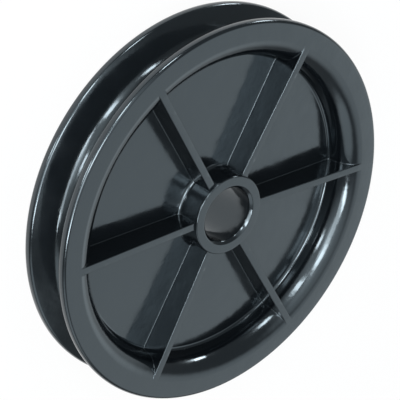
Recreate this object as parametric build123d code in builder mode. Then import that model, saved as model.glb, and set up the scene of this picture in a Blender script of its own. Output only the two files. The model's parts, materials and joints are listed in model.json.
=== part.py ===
"""Wire rope sheave: a one-piece moulded nylon pulley.

A rim with a rope groove, a thin web in its middle plane, a plain-bored hub and,
on each side of the web, radial ribs that slope down from the rim to the hub.
Both sides are alike. Origin: centre of the bore in the middle plane.
+Z runs along the bore and one rib runs along +X. Units: millimetres and degrees.
"""
import os
from math import acos, atan2, cos, hypot, radians, sin, tan

from build123d import *

# Driving dimensions: the whole sheave
outer_diameter = 140.0  # over the flange lips
width = 22.0  # over the two flange faces

# Hub
bore_diameter = 20.0
hub_wall = 4.5  # round the bore, at the hub's end face
hub_recess = 0.8  # hub end face below the flange face
hub_edge_radius = 0.5
bore_edge_radius = 0.4

# Rim and rope groove
groove_depth = 10.5  # from the lips to the bottom of the groove
groove_radius = 5.5  # round seat for the rope
lip_thickness = 3.0  # flange at its outer edge
face_edge_radius = 1.0  # flange lip, on its face side
groove_edge_radius = 1.5  # flange lip, on its groove side
rim_wall = 3.5  # between the bottom of the groove and the recess
recess_wall_height = 0.2  # straight stretch that the rolled edge leaves at least
roll_radius = 8.0  # rolled edge from the recess wall to the flange face
roll_corner_angle = 6.0  # between the end of the rolled edge and the flange face

# Web and ribs
web_thickness = 2.0
web_corner_radius = 1.5  # from the web to the rim and to the hub
rib_count = 6
rib_thickness = 2.8  # at the top of a rib
rib_corner_radius = 0.4  # from a rib to what it stands on
rib_level_length = 2.0  # outer end of a rib's top that is level with the flange face
hub_step = 0.9  # hub end face above the inner ends of the rib tops
draft_angle = 0.5  # on the walls of the pockets

# Sizes that follow from them
outer_radius = outer_diameter / 2
half_width = width / 2
half_web = web_thickness / 2
bore_radius = bore_diameter / 2
hub_radius = bore_radius + hub_wall
tread_radius = outer_radius - groove_depth
recess_radius = tread_radius - rim_wall
pocket_depth = half_width - half_web
hub_top = half_width - hub_recess
rib_foot_top = hub_top - hub_step
draft_slope = tan(radians(draft_angle))
rib_pitch = 360 / rib_count
rib_foot_thickness = rib_thickness + 2 * pocket_depth * draft_slope

# The rolled edge leaves room for the corner between the web and the rim
roll_room = pocket_depth - web_corner_radius - recess_wall_height
roll = min(roll_radius, roll_room / cos(radians(roll_corner_angle)))
roll_foot_height = half_width - roll * cos(radians(roll_corner_angle))
roll_top_height = roll_foot_height + roll
roll_top_radius = recess_radius + roll
face_inner_radius = roll_top_radius - roll * sin(radians(roll_corner_angle))
rib_level_radius = face_inner_radius - rib_level_length

# Each groove flank runs from the lip to the round seat, which it meets at a tangent
seat_radius = tread_radius + groove_radius
mouth_half_width = half_width - lip_thickness
lip_direction = atan2(mouth_half_width, outer_radius - seat_radius)
lip_distance = hypot(mouth_half_width, outer_radius - seat_radius)
flank_direction = lip_direction + acos(groove_radius / lip_distance)
flank_foot = (
    seat_radius + groove_radius * cos(flank_direction),
    groove_radius * sin(flank_direction),
)

# Cores of the pocket between two ribs and of the one behind it. They stand clear of
# the flange faces, and their inner wall is the drafted wall of the hub.
core_top = half_width + roll_radius
core_top_radius = hub_radius - (core_top - hub_top) * draft_slope
core_foot_radius = hub_radius + (hub_top - half_web) * draft_slope

with BuildPart() as pocket_cores:
    with BuildSketch(Plane.XZ):
        with BuildLine():
            FilletPolyline(
                (core_top_radius, core_top),
                (core_foot_radius, half_web),
                (recess_radius, half_web),
                (recess_radius, roll_foot_height),
                radius=web_corner_radius,
            )
            RadiusArc(
                (recess_radius, roll_foot_height),
                (roll_top_radius, roll_top_height),
                roll,
            )
            Polyline(
                (roll_top_radius, roll_top_height),
                (roll_top_radius, core_top),
                (core_top_radius, core_top),
            )
        make_face()
    revolve(axis=Axis.Z, revolution_arc=rib_pitch)
    with BuildSketch(Plane.XY.offset(half_web)):
        with PolarLocations(0, 2, angular_range=rib_pitch, endpoint=True):
            Rectangle(outer_radius, rib_foot_thickness, align=(Align.MIN, Align.CENTER))
    extrude(amount=core_top, taper=draft_angle, mode=Mode.SUBTRACT)
    rib_sides = pocket_cores.faces().filter_by(GeomType.PLANE).filter_by(Axis.Z, reverse=True)
    corner_edges = rib_sides.edges().filter_by_position(Axis.Z, half_web, half_width)
    fillet(corner_edges, min(rib_corner_radius, web_corner_radius))
    mirror(about=Plane.XY)

# The whole moulding
with BuildPart() as sheave:
    with BuildSketch(Plane.XZ):
        with BuildLine():
            Polyline(
                (bore_radius, 0),
                (bore_radius, hub_top),
                (hub_radius, hub_top),
                (hub_radius + hub_step * draft_slope, rib_foot_top),
                (rib_level_radius, half_width),
            )
            FilletPolyline(
                (rib_level_radius, half_width),
                (outer_radius, half_width),
                (outer_radius, mouth_half_width),
                flank_foot,
                radius=(face_edge_radius, groove_edge_radius),
            )
            RadiusArc(flank_foot, (tread_radius, 0), groove_radius)
            mirror(about=Plane.XZ)
        make_face()
    revolve(axis=Axis.Z)
    with PolarLocations(0, rib_count):
        add(pocket_cores.part, mode=Mode.SUBTRACT)
    level_faces = sheave.faces().filter_by(Axis.Z).group_by(Axis.Z)
    hub_ends = level_faces[1] + level_faces[-2]
    hub_end_edges = hub_ends.edges().group_by(SortBy.RADIUS)
    fillet(hub_end_edges[-1], hub_edge_radius)
    fillet(hub_end_edges[0], bore_edge_radius)

sheave.part.label = "sheave"
os.makedirs("parts", exist_ok=True)
export_step(sheave.part, "parts/sheave.step")
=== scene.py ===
"""Black nylon rope sheave: the moulding with its finish, in a plain pale studio.

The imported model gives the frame. The moulding is modelled again with finer curves and
stands for the solid. Lengths are millimetres in the classes of the moulding and of the
camera, and metres in those of the studio.
"""
import json
import logging
from collections.abc import Callable, Sequence
from dataclasses import dataclass, field
from enum import Enum
from math import acos, asin, atan2, cos, degrees, hypot, pi, radians, sin, tan
from typing import TypeVar

import bmesh
import bpy
from mathutils import Matrix, Vector


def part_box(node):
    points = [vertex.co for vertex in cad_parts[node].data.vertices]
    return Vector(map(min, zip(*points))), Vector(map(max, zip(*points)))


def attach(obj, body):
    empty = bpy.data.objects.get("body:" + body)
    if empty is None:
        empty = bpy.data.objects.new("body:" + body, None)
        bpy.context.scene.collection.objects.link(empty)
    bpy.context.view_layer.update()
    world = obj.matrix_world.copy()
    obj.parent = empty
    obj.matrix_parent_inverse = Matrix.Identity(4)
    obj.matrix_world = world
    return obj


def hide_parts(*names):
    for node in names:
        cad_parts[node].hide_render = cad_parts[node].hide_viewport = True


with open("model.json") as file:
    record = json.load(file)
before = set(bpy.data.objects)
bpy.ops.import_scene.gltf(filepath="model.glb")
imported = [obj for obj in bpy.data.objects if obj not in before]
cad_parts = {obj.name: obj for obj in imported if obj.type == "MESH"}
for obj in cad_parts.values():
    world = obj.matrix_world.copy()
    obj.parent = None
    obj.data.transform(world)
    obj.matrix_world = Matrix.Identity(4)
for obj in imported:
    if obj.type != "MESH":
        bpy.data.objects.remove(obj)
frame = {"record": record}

MM = 0.001
# Metres: nearer points are welded, nearer mirrored halves are joined, shorter edges go
WELD_DISTANCE = 2e-6
SEAM_DISTANCE = 1e-6
SLIVER_LENGTH = 1e-7

Made = TypeVar("Made")
log = logging.getLogger("sheave")


class Loop(Enum):
    """The open edge of a ribbed side that is carried on to the middle plane."""

    HUB = "hub"
    RIM = "rim"


@dataclass(frozen=True)
class SectionPoint:
    """A point of a section through the axis, with the normal that leaves the solid.

    The normal is worked out only where a rib may meet the section.
    """

    radius: float
    height: float
    normal_radius: float = 0.0
    normal_height: float = 0.0


def arc(
    centre: tuple[float, float],
    radius: float,
    start: float,
    end: float,
    steps: int,
    hollow: bool = False,
) -> list[SectionPoint]:
    """Points along a round stretch of a section.

    Args:
        centre: Distance from the axis and height of the arc's centre.
        radius: Radius of the arc.
        start: First angle in degrees, from the outward direction towards +Z.
        end: Last angle in degrees.
        steps: Number of chords.
        hollow: True where the solid is outside the arc, as in an inside corner.

    Returns:
        The points from start to end, both included.
    """
    sign = -1.0 if hollow else 1.0
    points = []
    for step in range(steps + 1):
        angle = radians(start + (end - start) * step / steps)
        points.append(
            SectionPoint(
                centre[0] + radius * cos(angle),
                centre[1] + radius * sin(angle),
                sign * cos(angle),
                sign * sin(angle),
            )
        )
    return points


@dataclass
class Moulding:
    """The whole sheave: one nylon moulding with a grooved rim, web, ribs and hub.

    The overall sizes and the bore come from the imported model. The other sizes are the
    solid's own, in millimetres and degrees, with two differences. The small edges of the
    lips, the bore and the ribs are shaped more closely here. The bottom of the groove is
    the round seat that a rope needs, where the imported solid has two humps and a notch.
    The shares limit the small radii where a rib runs out into the rolled edge, and the
    steps say how finely each stretch is divided.
    """

    outer_radius: float
    half_width: float
    bore_radius: float
    hub_wall: float = 4.5
    hub_recess: float = 0.8
    hub_edge_radius: float = 0.5
    bore_chamfer: float = 1.0
    bore_edge_radius: float = 0.7
    hub_step: float = 0.9
    groove_depth: float = 10.5
    groove_radius: float = 5.5
    lip_thickness: float = 3.0
    face_edge_radius: float = 1.4
    groove_edge_radius: float = 1.5
    rim_wall: float = 3.5
    roll_radius: float = 8.0
    roll_corner_angle: float = 6.0
    web_thickness: float = 2.0
    web_corner_radius: float = 1.5
    rib_count: int = 6
    rib_thickness: float = 2.8
    rib_corner_radius: float = 0.28
    rib_edge_radius: float = 0.3
    rib_level_length: float = 2.0
    draft_angle: float = 0.5
    corner_room_share: float = 0.8
    edge_room_share: float = 0.4
    sharp_angle: float = 38.0
    wall_steps: int = 8
    web_steps: int = 16
    roll_steps: int = 20
    lip_edge_steps: int = 6
    flank_steps: int = 4
    seat_steps: int = 14
    hub_edge_steps: int = 5
    bore_edge_steps: int = 4
    edge_steps: int = 3
    corner_steps: int = 5
    corner_rounds: int = 3
    pocket_steps: int = 18
    name: str = "nylon_moulding"
    half_web: float = field(init=False)
    hub_radius: float = field(init=False)
    hub_top: float = field(init=False)
    rib_foot_top: float = field(init=False)
    tread_radius: float = field(init=False)
    recess_radius: float = field(init=False)
    draft_slope: float = field(init=False)
    roll_foot_height: float = field(init=False)
    face_inner_radius: float = field(init=False)
    rib_level_radius: float = field(init=False)

    def __post_init__(self) -> None:
        """Works out the sizes that follow from the others."""
        self.half_web = self.web_thickness / 2
        self.hub_radius = self.bore_radius + self.hub_wall
        self.hub_top = self.half_width - self.hub_recess
        self.rib_foot_top = self.hub_top - self.hub_step
        self.tread_radius = self.outer_radius - self.groove_depth
        self.recess_radius = self.tread_radius - self.rim_wall
        self.draft_slope = tan(radians(self.draft_angle))
        roll_angle = radians(self.roll_corner_angle)
        self.roll_foot_height = self.half_width - self.roll_radius * cos(roll_angle)
        roll_centre = self.recess_radius + self.roll_radius
        self.face_inner_radius = roll_centre - self.roll_radius * sin(roll_angle)
        self.rib_level_radius = self.face_inner_radius - self.rib_level_length

    def pocket_outline(self) -> list[SectionPoint]:
        """Section of a pocket, from the foot of the hub's collar to the flange face.

        Returns:
            The points, with their normals, from the hub outwards.
        """
        corner = self.web_corner_radius
        corner_height = self.half_web + corner
        hub_foot = self.hub_wall_radius(corner_height)
        web_inner = hub_foot + corner
        web_outer = self.recess_radius - corner
        wall_drop = corner_height - self.rib_foot_top
        points = []
        for step in range(self.wall_steps):
            height = self.rib_foot_top + wall_drop * step / self.wall_steps
            points.append(SectionPoint(self.hub_wall_radius(height), height, 1.0, 0.0))
        points += arc((web_inner, corner_height), corner, 180, 270, self.corner_steps, hollow=True)
        for step in range(1, self.web_steps):
            radius = web_inner + (web_outer - web_inner) * step / self.web_steps
            points.append(SectionPoint(radius, self.half_web, 0.0, 1.0))
        points += arc((web_outer, corner_height), corner, 270, 360, self.corner_steps, hollow=True)
        roll_centre = (self.recess_radius + self.roll_radius, self.roll_foot_height)
        roll_end = 90 + self.roll_corner_angle
        points += arc(roll_centre, self.roll_radius, 180, roll_end, self.roll_steps)
        return points

    def hub_wall_radius(self, height: float) -> float:
        """Radius of the hub's drafted wall at a height."""
        return self.hub_radius + (self.hub_top - height) * self.draft_slope

    def rim_outline(self) -> list[SectionPoint]:
        """Section from the flange face over the lip and down to the bottom of the groove.

        Returns:
            The points from the face's outer end to the middle plane.
        """
        face_edge = self.face_edge_radius
        groove_edge = self.groove_edge_radius
        mouth = self.half_width - self.lip_thickness
        seat_centre = self.tread_radius + self.groove_radius
        lip_distance = hypot(mouth, self.outer_radius - seat_centre)
        flank_direction = degrees(
            atan2(mouth, self.outer_radius - seat_centre) + acos(self.groove_radius / lip_distance)
        )
        flank_turn = 180 - flank_direction
        tangent = groove_edge * tan(radians(flank_turn) / 2)
        face_centre = (self.outer_radius - face_edge, self.half_width - face_edge)
        groove_centre = (self.outer_radius - groove_edge, mouth + tangent)
        points = arc(face_centre, face_edge, 90, 0, self.lip_edge_steps)
        points += arc(groove_centre, groove_edge, 0, -flank_turn, self.lip_edge_steps)
        points += self.flank(points[-1], seat_centre, flank_direction)
        seat = (seat_centre, 0.0)
        points += arc(seat, self.groove_radius, flank_direction, 180, self.seat_steps, hollow=True)
        return points

    def flank(
        self, start: SectionPoint, seat_centre: float, direction: float
    ) -> list[SectionPoint]:
        """Points inside the straight flank of the groove.

        Args:
            start: Where the lip's rounded edge ends.
            seat_centre: Distance from the axis of the round seat's centre.
            direction: Direction in degrees in which the seat meets the flank.

        Returns:
            The points between the two ends of the flank.
        """
        end_radius = seat_centre + self.groove_radius * cos(radians(direction))
        end_height = self.groove_radius * sin(radians(direction))
        steps = self.flank_steps
        return [
            SectionPoint(
                start.radius + (end_radius - start.radius) * step / steps,
                start.height + (end_height - start.height) * step / steps,
            )
            for step in range(1, steps)
        ]

    def hub_outline(self) -> list[SectionPoint]:
        """Section from the foot of the hub's collar over its end face and down the bore.

        The bore starts with a chamfer at 45 degrees, rounded where it meets the end face
        and the bore's wall.

        Returns:
            The points from the collar's foot to the middle plane.
        """
        hub_edge = self.hub_edge_radius
        bore_edge = self.bore_edge_radius
        chamfer_direction = 135
        half_turn = (chamfer_direction - 90) / 2
        reach = self.bore_chamfer + bore_edge * tan(radians(half_turn))
        collar = (self.hub_radius - hub_edge, self.hub_top - hub_edge)
        mouth = (self.bore_radius + reach, self.hub_top - bore_edge)
        throat = (self.bore_radius + bore_edge, self.hub_top - reach)
        points = arc(collar, hub_edge, 0, 90, self.hub_edge_steps)
        points += arc(mouth, bore_edge, 90, chamfer_direction, self.bore_edge_steps)
        points += arc(throat, bore_edge, chamfer_direction, 180, self.bore_edge_steps)
        points.append(SectionPoint(self.bore_radius, 0.0))
        return points

    def rib_half_thickness(self, height: float) -> float:
        """Half the thickness of a rib at a height."""
        return self.rib_thickness / 2 + (self.half_width - height) * self.draft_slope

    def rib_top_height(self, distance: float) -> float:
        """Height of the top of a rib, which slopes up from the hub and then runs level.

        Args:
            distance: Distance from the axis along the rib.

        Returns:
            The height above the middle plane.
        """
        share = (distance - self.hub_radius) / (self.rib_level_radius - self.hub_radius)
        rise = self.half_width - self.rib_foot_top
        return self.rib_foot_top + rise * min(max(share, 0.0), 1.0)

    def corner_points(self, point: SectionPoint) -> list[Vector]:
        """Points round the inside corner between a rib and the wall that it stands on.

        Args:
            point: The place along the pocket's section.

        Returns:
            The points from the side of the rib to the wall.
        """
        room = self.rib_top_height(point.radius) - point.height
        radius = self.rib_corner_radius
        if point.height > self.roll_foot_height and point.radius > self.recess_radius:
            radius = min(radius, self.corner_room_share * room)
        side = self.rib_half_thickness(point.height + radius * point.normal_height)
        angle = asin((side + radius) / point.radius)
        # The wall's normal turns with the angle, so the angle is worked out in rounds
        for _ in range(self.corner_rounds):
            reach = side + radius * (1 - point.normal_radius * sin(angle))
            angle = asin(reach / point.radius)
        wall_normal = Vector(
            (point.normal_radius * cos(angle), point.normal_radius * sin(angle), point.normal_height)
        )
        foot = Vector((point.radius * cos(angle), point.radius * sin(angle), point.height))
        centre = foot + wall_normal * radius
        side_normal = Vector((0.0, 1.0, 0.0))
        points = []
        for step in range(self.corner_steps + 1):
            direction = side_normal.slerp(wall_normal, step / self.corner_steps)
            points.append(centre - direction * radius)
        return points

    def rib_top_points(self, distance: float, foot: Vector) -> list[Vector]:
        """Points across the top of a rib, from its middle over the edge to its side.

        Args:
            distance: Distance from the axis along the rib.
            foot: The lowest point of the side in this row.

        Returns:
            The points from the middle of the rib to the top of its side.
        """
        top = self.rib_top_height(distance)
        side = self.rib_half_thickness(top)
        room = (Vector((distance, side, top)) - foot).length
        edge = min(self.rib_edge_radius, self.edge_room_share * room)
        points = [Vector((distance, 0.0, top))]
        for step in range(self.edge_steps + 1):
            angle = radians(90 * step / self.edge_steps)
            across = side - edge * (1 - sin(angle))
            points.append(Vector((distance, across, top - edge * (1 - cos(angle)))))
        return points

    def half_pocket_rows(self) -> list[list[Vector]]:
        """Rows of points from the middle of a rib to the middle of the next pocket.

        Returns:
            One row for each point of the pocket's section, from the hub outwards.
        """
        outline = self.pocket_outline()
        corners = [self.corner_points(point) for point in outline]
        feet = [corner[0] for corner in corners]
        lengths = [0.0]
        for low, high in zip(feet, feet[1:]):
            lengths.append(lengths[-1] + (high - low).length)
        start, end = feet[0].x, feet[-1].x
        middle = pi / self.rib_count
        rows = []
        for point, corner, length in zip(outline, corners, lengths):
            distance = start + (end - start) * length / lengths[-1]
            row = self.rib_top_points(distance, corner[0]) + corner
            first = atan2(corner[-1].y, corner[-1].x)
            for step in range(1, self.pocket_steps + 1):
                angle = first + (middle - first) * step / self.pocket_steps
                row.append(
                    Vector((point.radius * cos(angle), point.radius * sin(angle), point.height))
                )
            rows.append(row)
        # The middle of the rib ends on the hub's wall and on the inner edge of the flange face
        rows[0][0].x = self.hub_wall_radius(self.rib_foot_top)
        rows[-1][0].x = self.face_inner_radius
        return rows

    def lay_half_pocket(self, mesh: bmesh.types.BMesh) -> None:
        """Lays a grid over half a rib and half a pocket.

        Args:
            mesh: The empty mesh that takes the grid.
        """
        rows = self.half_pocket_rows()
        last_row = len(rows) - 1
        last_column = len(rows[0]) - 1
        half = 0.5
        bmesh.ops.create_grid(mesh, x_segments=last_row, y_segments=last_column, size=half)
        hub_row = {}
        for vert in mesh.verts:
            row = round((vert.co.x + half) * last_row)
            column = round((vert.co.y + half) * last_column)
            vert.co = rows[row][column] * MM
            if row == 0:
                hub_row[column] = vert
        # A small face fills the gap on the hub's wall beside the rib's rounded edge
        corner_end = 1 + (self.edge_steps + 1) + self.corner_steps
        foot_edges = [
            mesh.edges.get((hub_row[column], hub_row[column + 1])) for column in range(corner_end)
        ]
        foot_edges.append(mesh.edges.new((hub_row[corner_end], hub_row[0])))
        bmesh.ops.contextual_create(mesh, geom=foot_edges)
        bmesh.ops.remove_doubles(mesh, verts=mesh.verts, dist=WELD_DISTANCE)
        bmesh.ops.dissolve_degenerate(mesh, edges=mesh.edges, dist=SLIVER_LENGTH)

    def repeat_round_axis(self, mesh: bmesh.types.BMesh) -> None:
        """Mirrors the half pocket over its rib and repeats it round the axis.

        Args:
            mesh: The mesh that holds the half pocket.
        """
        everything = mesh.verts[:] + mesh.edges[:] + mesh.faces[:]
        bmesh.ops.mirror(mesh, geom=everything, axis="Y", merge_dist=SEAM_DISTANCE)
        everything = mesh.verts[:] + mesh.edges[:] + mesh.faces[:]
        bmesh.ops.spin(
            mesh,
            geom=everything,
            cent=(0, 0, 0),
            axis=(0, 0, 1),
            angle=2 * pi * (self.rib_count - 1) / self.rib_count,
            steps=self.rib_count - 1,
            use_duplicate=True,
        )
        bmesh.ops.remove_doubles(mesh, verts=mesh.verts, dist=WELD_DISTANCE)

    def extend(
        self, mesh: bmesh.types.BMesh, loop: Loop, outline: Sequence[SectionPoint]
    ) -> None:
        """Carries an open edge of the side along a section to the middle plane.

        Args:
            mesh: The ribbed side.
            loop: Which open edge to carry on.
            outline: The section to follow.
        """
        split = (self.hub_radius + self.recess_radius) / 2 * MM
        wants_hub = loop is Loop.HUB
        edges = [
            edge
            for edge in mesh.edges
            if edge.is_boundary and (edge.verts[0].co.xy.length < split) == wants_hub
        ]
        for point in outline:
            extruded = bmesh.ops.extrude_edge_only(mesh, edges=edges)["geom"]
            verts = [item for item in extruded if isinstance(item, bmesh.types.BMVert)]
            for vert in verts:
                vert.co.xy *= point.radius * MM / vert.co.xy.length
                vert.co.z = point.height * MM
            moved = set(verts)
            edges = [
                item
                for item in extruded
                if isinstance(item, bmesh.types.BMEdge) and moved.issuperset(item.verts)
            ]

    def build(self) -> bpy.types.Object:
        """Builds the closed moulding and lets it stand for the solid.

        Returns:
            The finished piece.
        """
        mesh = bmesh.new()
        self.lay_half_pocket(mesh)
        self.repeat_round_axis(mesh)
        self.extend(mesh, Loop.RIM, self.rim_outline())
        self.extend(mesh, Loop.HUB, self.hub_outline())
        everything = mesh.verts[:] + mesh.edges[:] + mesh.faces[:]
        bmesh.ops.mirror(mesh, geom=everything, axis="Z", merge_dist=SEAM_DISTANCE)
        bmesh.ops.remove_doubles(mesh, verts=mesh.verts, dist=WELD_DISTANCE)
        bmesh.ops.recalc_face_normals(mesh, faces=mesh.faces)
        for face in mesh.faces:
            face.smooth = True
        open_edges = sum(not edge.is_manifold for edge in mesh.edges)
        log.info("moulding: %d faces, %d open edges", len(mesh.faces), open_edges)
        data = bpy.data.meshes.new(self.name)
        mesh.to_mesh(data)
        mesh.free()
        data.set_sharp_from_angle(angle=radians(self.sharp_angle))
        piece = bpy.data.objects.new(self.name, data)
        bpy.context.scene.collection.objects.link(piece)
        even = piece.modifiers.new("flat_faces_stay_flat", "WEIGHTED_NORMAL")
        even.keep_sharp = True
        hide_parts("sheave")
        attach(piece, "root")
        return piece


def group_socket(
    group: bpy.types.NodeTree, name: str, kind: str = "Float", output: bool = False
) -> None:
    """Adds a named socket to a node group.

    Args:
        group: The node group.
        name: The socket's name.
        kind: Float or Vector.
        output: True for an output.
    """
    way = "OUTPUT" if output else "INPUT"
    group.interface.new_socket(name=name, in_out=way, socket_type=f"NodeSocket{kind}")


@dataclass(frozen=True)
class MouldedGrain:
    """Shared effect: the fine unevenness that a steel mould leaves on nylon."""

    name: str = "moulded_grain"
    grain_detail: float = 4.0
    grain_roughness: float = 0.6
    wave_detail: float = 3.0

    def group(self) -> bpy.types.NodeTree:
        """Makes the node group on first use.

        Returns:
            The group, which puts out fine grain and broad waves.
        """
        if self.name in bpy.data.node_groups:
            return bpy.data.node_groups[self.name]
        tree = bpy.data.node_groups.new(self.name, "ShaderNodeTree")
        group_socket(tree, "Position", "Vector")
        group_socket(tree, "Grain Scale")
        group_socket(tree, "Wave Scale")
        group_socket(tree, "Grain", output=True)
        group_socket(tree, "Waves", output=True)
        entry = tree.nodes.new("NodeGroupInput")
        result = tree.nodes.new("NodeGroupOutput")
        grain = tree.nodes.new("ShaderNodeTexNoise")
        grain.inputs["Detail"].default_value = self.grain_detail
        grain.inputs["Roughness"].default_value = self.grain_roughness
        waves = tree.nodes.new("ShaderNodeTexNoise")
        waves.inputs["Detail"].default_value = self.wave_detail
        tree.links.new(entry.outputs["Position"], grain.inputs["Vector"])
        tree.links.new(entry.outputs["Grain Scale"], grain.inputs["Scale"])
        tree.links.new(entry.outputs["Position"], waves.inputs["Vector"])
        tree.links.new(entry.outputs["Wave Scale"], waves.inputs["Scale"])
        tree.links.new(grain.outputs["Fac"], result.inputs["Grain"])
        tree.links.new(waves.outputs["Fac"], result.inputs["Waves"])
        return tree


@dataclass(frozen=True)
class NylonFinish:
    """Black moulded nylon with the gloss that a polished mould leaves, and a painted blue cast of the
    room's light in its reflections.

    The scales are noise cells to the metre, and the depths are millimetres.
    """

    name: str = "black_nylon"
    colour: tuple[float, float, float] = (0.0026, 0.0034, 0.0044)
    # Painted light: the blue tint puts the bluish cast of the room's light into every reflection
    painted_light_tint: tuple[float, float, float] = (0.80, 0.925, 1.0)
    refraction: float = 1.8
    roughness: float = 0.135
    roughness_spread: float = 0.11
    grain_scale: float = 900.0
    grain_depth: float = 0.008
    wave_scale: float = 110.0
    wave_depth: float = 0.11
    wave_low: float = 0.3
    wave_high: float = 0.7

    def material(self) -> bpy.types.Material:
        """Makes the black nylon: waves in its polish and its form, fine grain, and a painted blue cast
        of the light in its reflections.

        Returns:
            The finished material.
        """
        material = bpy.data.materials.new(self.name)
        material.use_nodes = True
        nodes, links = material.node_tree.nodes, material.node_tree.links
        shader = nodes["Principled BSDF"]
        shader.inputs["IOR"].default_value = self.refraction
        shader.inputs["Base Color"].default_value = (*self.colour, 1.0)
        # Tints the reflections blue: a painted cast of the room's light, which the nylon's own gloss
        # does not have
        shader.inputs["Specular Tint"].default_value = (*self.painted_light_tint, 1.0)
        place = nodes.new("ShaderNodeTexCoord")
        grain = nodes.new("ShaderNodeGroup")
        grain.node_tree = MouldedGrain().group()
        grain.inputs["Grain Scale"].default_value = self.grain_scale
        grain.inputs["Wave Scale"].default_value = self.wave_scale
        links.new(place.outputs["Object"], grain.inputs["Position"])
        rough = nodes.new("ShaderNodeMapRange")
        rough.inputs["From Min"].default_value = self.wave_low
        rough.inputs["From Max"].default_value = self.wave_high
        rough.inputs["To Min"].default_value = self.roughness - self.roughness_spread / 2
        rough.inputs["To Max"].default_value = self.roughness + self.roughness_spread / 2
        links.new(grain.outputs["Waves"], rough.inputs["Value"])
        links.new(rough.outputs["Result"], shader.inputs["Roughness"])
        waves = nodes.new("ShaderNodeBump")
        waves.inputs["Distance"].default_value = self.wave_depth * MM
        links.new(grain.outputs["Waves"], waves.inputs["Height"])
        fine = nodes.new("ShaderNodeBump")
        fine.inputs["Distance"].default_value = self.grain_depth * MM
        links.new(grain.outputs["Grain"], fine.inputs["Height"])
        links.new(waves.outputs["Normal"], fine.inputs["Normal"])
        links.new(fine.outputs["Normal"], shader.inputs["Normal"])
        return material


def direction_at(azimuth: float, elevation: float) -> Vector:
    """Unit vector at an azimuth from +X and an elevation, both in degrees."""
    turn, rise = radians(azimuth), radians(elevation)
    return Vector((cos(turn) * cos(rise), sin(turn) * cos(rise), sin(rise)))


@dataclass(frozen=True)
class Softbox:
    """A soft lamp that faces the middle of the sheave.

    Angles are degrees: azimuth from +X towards +Y, elevation above the floor, and how
    wide and high the lamp looks from the sheave. The distance is in metres, and the
    brightness is the radiance of the lamp's face.
    """

    name: str
    azimuth: float
    elevation: float
    width: float
    height: float
    brightness: float
    distance: float = 1.2
    colour: tuple[float, float, float] = (0.94, 0.98, 1.0)

    def place(self) -> bpy.types.Object:
        """Makes the lamp and turns its face to the sheave.

        Returns:
            The lamp.
        """
        lamp = bpy.data.lights.new(self.name, "AREA")
        lamp.shape = "RECTANGLE"
        lamp.size = 2 * self.distance * tan(radians(self.width) / 2)
        lamp.size_y = 2 * self.distance * tan(radians(self.height) / 2)
        lamp.energy = self.brightness * pi * lamp.size * lamp.size_y
        lamp.color = self.colour
        item = bpy.data.objects.new(self.name, lamp)
        direction = direction_at(self.azimuth, self.elevation)
        item.location = direction * self.distance
        item.rotation_mode = "QUATERNION"
        item.rotation_quaternion = direction.to_track_quat("Z", "Y")
        item.visible_camera = False
        bpy.context.scene.collection.objects.link(item)
        return item


@dataclass(frozen=True)
class WallGlow:
    """A broad pale stretch of the room's walls and ceiling, with soft borders.

    Angles are degrees: where its middle is, how far out it is full, and where it ends.
    """

    azimuth: float
    elevation: float
    full: float
    end: float
    brightness: float


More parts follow.
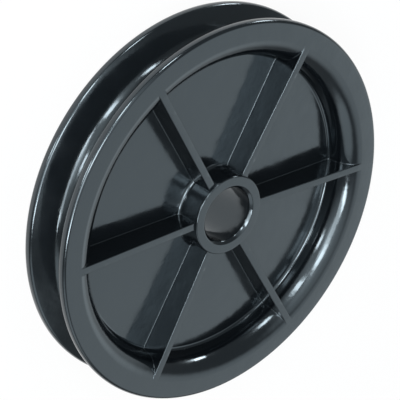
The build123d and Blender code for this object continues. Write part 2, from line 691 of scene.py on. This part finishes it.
@dataclass
class Studio:
    """The pale floor, the lamps and the light of the room, placed from the camera's side.

    Lengths are metres, and angles are degrees.
    """

    camera_azimuth: float
    floor_height: float
    floor_gap: float = 0.00002
    floor_reach: float = 3.0
    floor_colour: float = 0.72
    floor_roughness: float = 0.9
    floor_gloss: float = 0.1
    ground_share: float = 0.92
    room_light: float = 0.2
    room_colour: tuple[float, float, float] = (0.90, 0.97, 1.0)
    backdrop_colour: tuple[float, float, float] = (1.0, 1.0, 1.0)

    def lay_floor(self) -> bpy.types.Object:
        """Lays the floor under the sheave, a hair below its lower face.

        Returns:
            The floor.
        """
        mesh = bmesh.new()
        bmesh.ops.create_grid(mesh, x_segments=1, y_segments=1, size=self.floor_reach)
        height = self.floor_height - self.floor_gap
        bmesh.ops.translate(mesh, vec=(0, 0, height), verts=mesh.verts)
        data = bpy.data.meshes.new("floor")
        mesh.to_mesh(data)
        mesh.free()
        floor = bpy.data.objects.new("floor", data)
        bpy.context.scene.collection.objects.link(floor)
        floor.data.materials.append(self.floor_material())
        return floor

    def floor_material(self) -> bpy.types.Material:
        """Makes the white card, which shows as a white ground and keeps a shadow.

        Returns:
            The card's material.
        """
        material = bpy.data.materials.new("floor_card")
        material.use_nodes = True
        nodes, links = material.node_tree.nodes, material.node_tree.links
        shader = nodes["Principled BSDF"]
        shader.inputs["Base Color"].default_value = (*(self.floor_colour,) * 3, 1.0)
        shader.inputs["Roughness"].default_value = self.floor_roughness
        shader.inputs["Specular IOR Level"].default_value = self.floor_gloss
        glow = nodes.new("ShaderNodeEmission")
        path = nodes.new("ShaderNodeLightPath")
        seen = nodes.new("ShaderNodeMath")
        seen.operation = "MAXIMUM"
        links.new(path.outputs["Is Camera Ray"], seen.inputs[0])
        links.new(path.outputs["Is Glossy Ray"], seen.inputs[1])
        share = nodes.new("ShaderNodeMath")
        share.operation = "MULTIPLY"
        share.inputs[1].default_value = self.ground_share
        links.new(seen.outputs["Value"], share.inputs[0])
        blend = nodes.new("ShaderNodeMixShader")
        links.new(share.outputs["Value"], blend.inputs["Fac"])
        links.new(shader.outputs["BSDF"], blend.inputs[1])
        links.new(glow.outputs["Emission"], blend.inputs[2])
        links.new(blend.outputs["Shader"], nodes["Material Output"].inputs["Surface"])
        return material

    def wall_glows(self) -> list[WallGlow]:
        """Lists the brighter stretches of the room.

        Returns:
            The stretches, the ones behind the sheave first.
        """
        front = self.camera_azimuth
        return [
            WallGlow(azimuth=front + 180, elevation=44, full=14, end=36, brightness=0.81),
            WallGlow(azimuth=front + 195, elevation=8, full=14, end=36, brightness=0.5),
            WallGlow(azimuth=front + 100, elevation=30, full=12, end=26, brightness=0.95),
            WallGlow(azimuth=front + 10, elevation=78, full=12, end=34, brightness=0.8),
            WallGlow(azimuth=front + 4, elevation=38, full=14, end=50, brightness=0.85),
            WallGlow(azimuth=front + 21, elevation=40, full=3, end=14, brightness=1.3),
        ]

    def light_room(self) -> None:
        """Sets the light from the walls and the ceiling, and a plain white backdrop.

        The backdrop is seen by the camera alone, so it lights nothing.
        """
        world = bpy.data.worlds.new("room")
        bpy.context.scene.world = world
        world.use_nodes = True
        nodes, links = world.node_tree.nodes, world.node_tree.links
        background = nodes["Background"]
        background.inputs["Color"].default_value = (*self.room_colour, 1.0)
        place = nodes.new("ShaderNodeTexCoord")
        total = None
        for glow in self.wall_glows():
            middle = nodes.new("ShaderNodeVectorMath")
            middle.operation = "DOT_PRODUCT"
            middle.inputs[1].default_value = direction_at(glow.azimuth, glow.elevation)
            links.new(place.outputs["Generated"], middle.inputs[0])
            border = nodes.new("ShaderNodeMapRange")
            border.interpolation_type = "SMOOTHSTEP"
            border.inputs["From Min"].default_value = cos(radians(glow.end))
            border.inputs["From Max"].default_value = cos(radians(glow.full))
            border.inputs["To Max"].default_value = glow.brightness
            links.new(middle.outputs["Value"], border.inputs["Value"])
            add = nodes.new("ShaderNodeMath")
            add.inputs[0].default_value = self.room_light
            links.new(border.outputs["Result"], add.inputs[1])
            if total is not None:
                links.new(total, add.inputs[0])
            total = add.outputs["Value"]
        links.new(total, background.inputs["Strength"])
        backdrop = nodes.new("ShaderNodeBackground")
        backdrop.inputs["Color"].default_value = (*self.backdrop_colour, 1.0)
        path = nodes.new("ShaderNodeLightPath")
        blend = nodes.new("ShaderNodeMixShader")
        links.new(path.outputs["Is Camera Ray"], blend.inputs["Fac"])
        links.new(background.outputs["Background"], blend.inputs[1])
        links.new(backdrop.outputs["Background"], blend.inputs[2])
        links.new(blend.outputs["Shader"], nodes["World Output"].inputs["Surface"])

    def hang_lamps(self) -> list[bpy.types.Object]:
        """Hangs the softboxes, all but one on the camera's side of the sheave.

        Returns:
            The lamps.
        """
        front = self.camera_azimuth
        lamps = [
            Softbox("key_softbox", front + 32, elevation=52, width=40, height=21, brightness=3.5),
            Softbox("key_middle", front + 9, elevation=57, width=13, height=18, brightness=8.0),
            Softbox("right_middle", front + 63, elevation=55, width=9, height=17, brightness=12.5),
            Softbox("left_softbox", front - 18, elevation=37, width=9, height=21, brightness=10.5),
            Softbox("low_softbox", front + 16, elevation=13, width=10, height=12, brightness=11.0),
            Softbox("upper_left_softbox", front - 51, elevation=30, width=9, height=13, brightness=13.0),
            Softbox("side_softbox", front - 101, elevation=9, width=9, height=10, brightness=17.0),
        ]
        return [lamp.place() for lamp in lamps]


@dataclass(frozen=True)
class Viewpoint:
    """Where the camera stands: angles in degrees, lengths in millimetres."""

    azimuth: float = 80.76
    elevation: float = 41.87
    distance: float = 550.2
    roll: float = 120.66
    aim: tuple[float, float, float] = (0.4, 5.5, 0.0)
    lens: float = 144.15
    sensor_width: float = 36.0

    def place(self) -> bpy.types.Object:
        """Sets up the camera and makes it the scene's own.

        Returns:
            The camera.
        """
        data = bpy.data.cameras.new("camera")
        data.lens = self.lens
        data.sensor_width = self.sensor_width
        camera = bpy.data.objects.new("camera", data)
        back = direction_at(self.azimuth, self.elevation)
        level_right = Vector((0.0, 0.0, 1.0)).cross(back).normalized()
        level_up = back.cross(level_right)
        turn = radians(self.roll)
        right = level_right * cos(turn) + level_up * sin(turn)
        up = back.cross(right)
        camera.location = Vector(self.aim) * MM + back * self.distance * MM
        camera.rotation_mode = "QUATERNION"
        camera.rotation_quaternion = Matrix((right, up, back)).transposed().to_quaternion()
        bpy.context.scene.collection.objects.link(camera)
        bpy.context.scene.camera = camera
        return camera


def report(label: str, build: Callable[[], Made]) -> Made:
    """Runs one step of the scene and logs that it is done.

    Args:
        label: What the step makes.
        build: The step.

    Returns:
        What the step returns.
    """
    result = build()
    log.info("%s: done", label)
    return result


def main() -> None:
    """Builds the sheave, its finish, the studio and the camera."""
    logging.basicConfig(level=logging.INFO, format="%(name)s: %(message)s")
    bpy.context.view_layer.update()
    low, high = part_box("sheave")
    bore = next(mount for mount in frame["record"]["mounts"] if mount["name"] == "bore")
    moulding = Moulding(
        outer_radius=high.x / MM, half_width=high.z / MM, bore_radius=bore["dims"]["r_mm"]
    )
    piece = report("moulding", moulding.build)
    piece.data.materials.append(NylonFinish().material())
    viewpoint = Viewpoint()
    studio = Studio(camera_azimuth=viewpoint.azimuth, floor_height=low.z)
    report("floor", studio.lay_floor)
    report("room light", studio.light_room)
    report("lamps", studio.hang_lamps)
    report("camera", viewpoint.place)
    bpy.context.scene.view_settings.view_transform = "Standard"
    bpy.context.view_layer.update()


if __name__ == "__main__":
    main()
